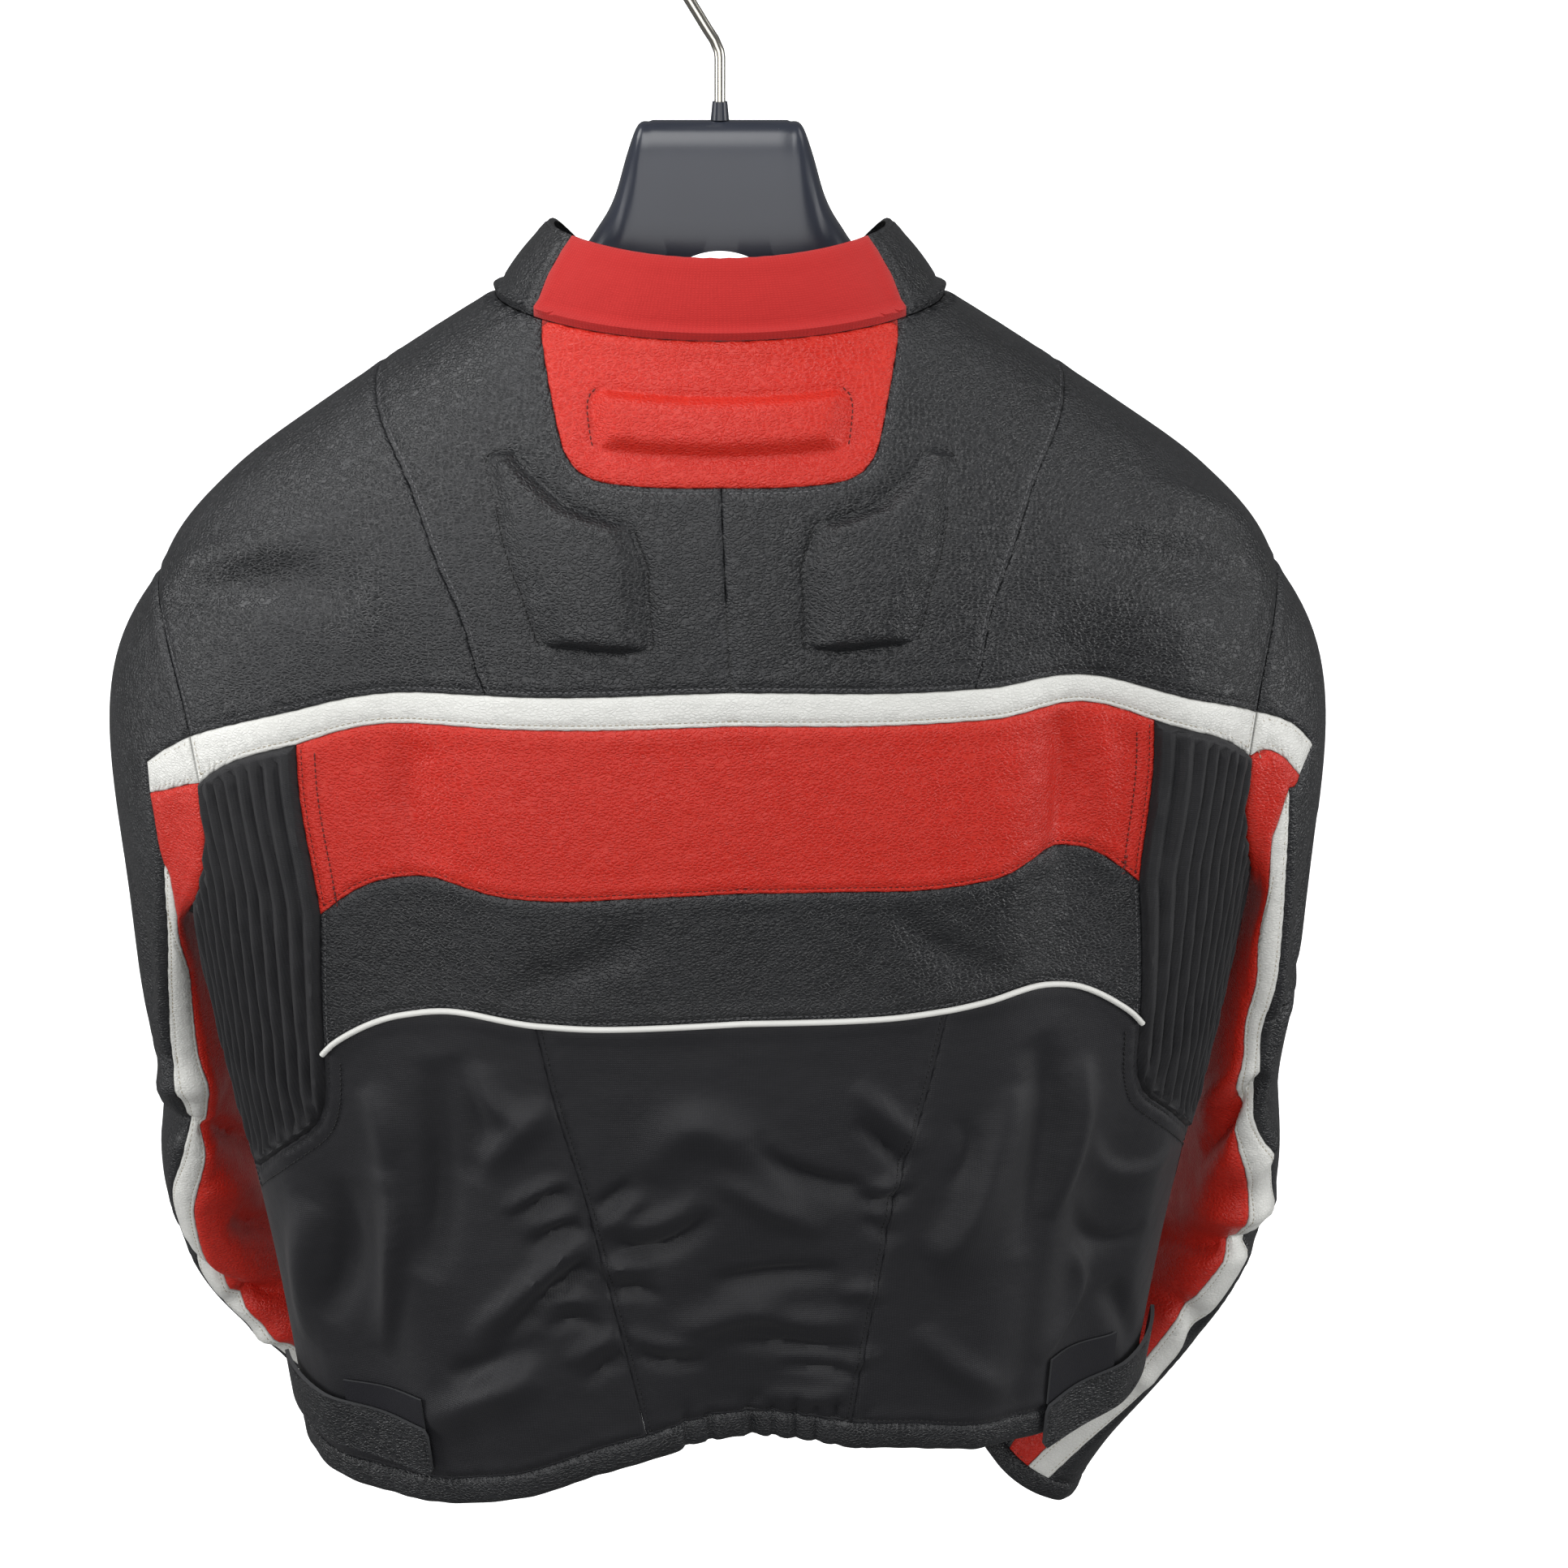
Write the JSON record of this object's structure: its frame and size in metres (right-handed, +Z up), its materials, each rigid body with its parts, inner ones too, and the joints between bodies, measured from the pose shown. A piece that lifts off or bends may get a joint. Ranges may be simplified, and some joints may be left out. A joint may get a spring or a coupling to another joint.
{
  "type": "motorcycle jacket on a hanger",
  "caption": "Short leather and textile motorcycle jacket with a stand collar and stretch panels, zipped up and hanging on a wide moulded hanger with a wire hook.",
  "frame": {"origin": "inside top of the hanger's hook, where the rod carries it", "axes": "+Z up, +Y towards the jacket's back, +X towards the wearer's left"},
  "size_m": [0.672, 0.3492, 0.9766],
  "materials": {
    "black_leather": "pebbled, semi-matt",
    "red_leather": "pebbled, semi-matt",
    "white_leather": "pebbled, semi-matt",
    "red_knit": "smooth bonded knit",
    "stretch_textile": "ribbed, matt",
    "nylon_textile": "plain weave, faint sheen",
    "white_piping": "smooth",
    "hook_and_loop": "looped pile",
    "zip_tape": "woven tape",
    "zip_metal": "dark satin",
    "hanger_plastic": "glossy moulded",
    "hook_steel": "satin nickel"
  },
  "bodies": {
    "jacket": {"back_band_black": "black_leather", "back_band_red": "red_leather", "back_yoke_left": "black_leather", "back_yoke_right": "black_leather", "chest_band": "white_leather", "collar_back": "red_knit", "collar_left": "black_leather", "collar_right": "black_leather", "front_left": "black_leather", "front_right": "black_leather", "hanger_boss": "hanger_plastic", "hanger_form": "hanger_plastic", "hanger_hook": "hook_steel", "hem_binding": "black_leather", "lower_back_centre": "nylon_textile", "lower_back_left": "nylon_textile", "lower_back_right": "nylon_textile", "neck_panel": "red_leather", "piping": "white_piping", "shoulder_left": "black_leather", "shoulder_right": "black_leather", "sleeve_left_band": "white_leather", "sleeve_left_cuff": "black_leather", "sleeve_left_inner": "black_leather", "sleeve_left_outer_lower": "black_leather", "sleeve_left_outer_upper": "black_leather", "sleeve_left_red": "red_leather", "sleeve_left_stripe": "white_leather", "sleeve_right_band": "white_leather", "sleeve_right_cuff": "black_leather", "sleeve_right_inner": "black_leather", "sleeve_right_outer_lower": "black_leather", "sleeve_right_outer_upper": "black_leather", "sleeve_right_red": "red_leather", "sleeve_right_stripe": "white_leather", "strap_left": "black_leather", "strap_patch_left": "hook_and_loop", "strap_patch_right": "hook_and_loop", "strap_right": "black_leather", "stretch_panel_left": "stretch_textile", "stretch_panel_right": "stretch_textile", "zip_slider": "zip_metal", "zip_tape_left": "zip_tape", "zip_tape_right": "zip_tape"},
    "zip_pull": {"zip_pull": "zip_metal"}
  },
  "joints": [
    {"name": "zip_pull_hinge", "type": "hinge", "parent": "jacket", "child": "zip_pull", "pos_m": [0, -0.09166, -0.227], "axis": [-1, 0, 0], "range_deg": [0, 150]}
  ]
}
